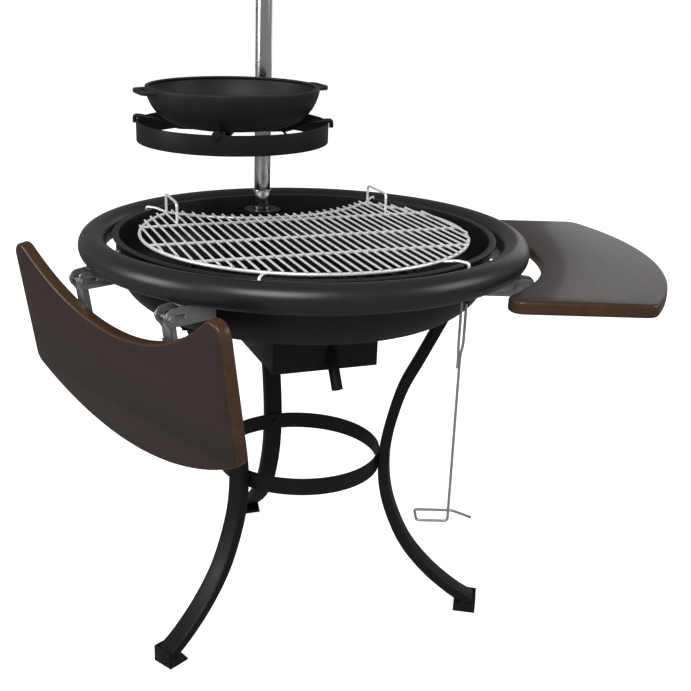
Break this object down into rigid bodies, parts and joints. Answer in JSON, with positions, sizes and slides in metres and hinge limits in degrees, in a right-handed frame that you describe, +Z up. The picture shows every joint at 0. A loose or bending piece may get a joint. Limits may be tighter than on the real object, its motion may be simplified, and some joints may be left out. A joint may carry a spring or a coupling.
{
  "type": "barbecue grill",
  "caption": "Round charcoal barbecue on bent legs with a table ring, a wire cooking grate, folding wooden side tables, an ash drawer and a pole whose swinging ring holds a wok.",
  "frame": {"origin": "centre of the box round the whole object, at the floor", "axes": "+Z up along the pole, +Y towards the side of the bowl where the pole stands"},
  "size_m": [1.1232, 0.8712, 1.3293],
  "materials": {
    "bowl_enamel": "dark grey heat-proof enamel, satin",
    "ring_paint": "dark grey satin paint",
    "black_steel": "black satin paint on steel",
    "cast_iron": "seasoned cast iron, matt",
    "grate_wire": "bright chromed wire",
    "pole_chrome": "polished tube",
    "zinc": "zinc-plated steel",
    "board_wood": "dark stained hardwood, satin varnish",
    "cap_plastic": "black plastic"
  },
  "bodies": {
    "stand": {"fire_bowl": "bowl_enamel", "table_ring": "ring_paint", "pole_socket": "black_steel", "pole": "pole_chrome", "pole_bush": "pole_chrome", "pole_cap": "cap_plastic", "ring_stay_1": "black_steel", "ring_stay_2": "black_steel", "hinge_bracket_right_front": "zinc", "hinge_bracket_right_rear": "zinc", "hinge_bracket_left_front": "zinc", "hinge_bracket_left_rear": "zinc", "leg_rear": "black_steel", "leg_right": "black_steel", "leg_left": "black_steel", "leg_mount_rear": "black_steel", "leg_mount_right": "black_steel", "leg_mount_left": "black_steel", "foot_rear": "black_steel", "foot_right": "black_steel", "foot_left": "black_steel", "leg_hoop": "black_steel", "ash_housing": "black_steel", "tool_peg": "black_steel"},
    "lift": {"rest_washer": "zinc"},
    "carrier": {"swing_sleeve": "black_steel", "carrier_arm": "black_steel", "pan_ring": "black_steel", "cross_rod_right": "black_steel", "cross_rod_left": "black_steel"},
    "wok": {"wok": "cast_iron", "wok_ear_right": "cast_iron", "wok_ear_left": "cast_iron"},
    "pin": {"height_pin": "black_steel"},
    "cooking_grate": {"cooking_grate": "grate_wire"},
    "charcoal_grate": {"charcoal_grate": "cast_iron"},
    "right_pivots": {"pivot_bolt_right_front": "zinc", "pivot_bolt_right_rear": "zinc"},
    "right_table": {"side_board_right": "board_wood", "hinge_arm_right_front": "zinc", "hinge_arm_right_rear": "zinc"},
    "left_pivots": {"pivot_bolt_left_front": "zinc", "pivot_bolt_left_rear": "zinc"},
    "left_table": {"side_board_left": "board_wood", "hinge_arm_left_front": "zinc", "hinge_arm_left_rear": "zinc"},
    "drawer": {"ash_drawer": "black_steel", "ash_handle": "black_steel"},
    "lifter": {"grate_lifter": "grate_wire"}
  },
  "joints": [
    {"name": "carrier_height", "type": "slide", "parent": "stand", "child": "lift", "axis": [0, 0, 1], "range_m": [0, 0.33]},
    {"name": "carrier_swing", "type": "hinge", "parent": "lift", "child": "carrier", "pos_m": [-0.06617, 0.29317, 0.88], "axis": [0, 0, 1], "continuous": true},
    {"name": "wok_lift", "type": "slide", "parent": "carrier", "child": "wok", "axis": [0, 0, 1], "range_m": [0, 0.12]},
    {"name": "pin_pull", "type": "slide", "parent": "stand", "child": "pin", "axis": [1, 0, 0], "range_m": [0, 0.06]},
    {"name": "cooking_grate_lift", "type": "slide", "parent": "stand", "child": "cooking_grate", "axis": [0, 0, 1], "range_m": [0, 0.1]},
    {"name": "charcoal_grate_lift", "type": "slide", "parent": "stand", "child": "charcoal_grate", "axis": [0, 0, 1], "range_m": [0, 0.06]},
    {"name": "right_table_shift", "type": "slide", "parent": "stand", "child": "right_pivots", "axis": [0.9367, -0.3502, 0], "range_m": [0, 0.024]},
    {"name": "right_table_fold", "type": "hinge", "parent": "right_pivots", "child": "right_table", "pos_m": [0.27572, -0.09166, 0.677], "axis": [0.3502, 0.9367, 0], "range_deg": [0, 98.8]},
    {"name": "left_table_shift", "type": "slide", "parent": "stand", "child": "left_pivots", "axis": [-0.9272, -0.3746, 0], "range_m": [-0.024, 0]},
    {"name": "left_table_fold", "type": "hinge", "parent": "left_pivots", "child": "left_table", "pos_m": [-0.42684, -0.10956, 0.677], "axis": [0.3746, -0.9272, 0], "range_deg": [-98.8, 0]},
    {"name": "ash_drawer_slide", "type": "slide", "parent": "stand", "child": "drawer", "axis": [0, -1, 0], "range_m": [0, 0.2]},
    {"name": "lifter_unhook", "type": "slide", "parent": "stand", "child": "lifter", "axis": [0.4384, -0.8988, 0], "range_m": [0, 0.1]}
  ]
}
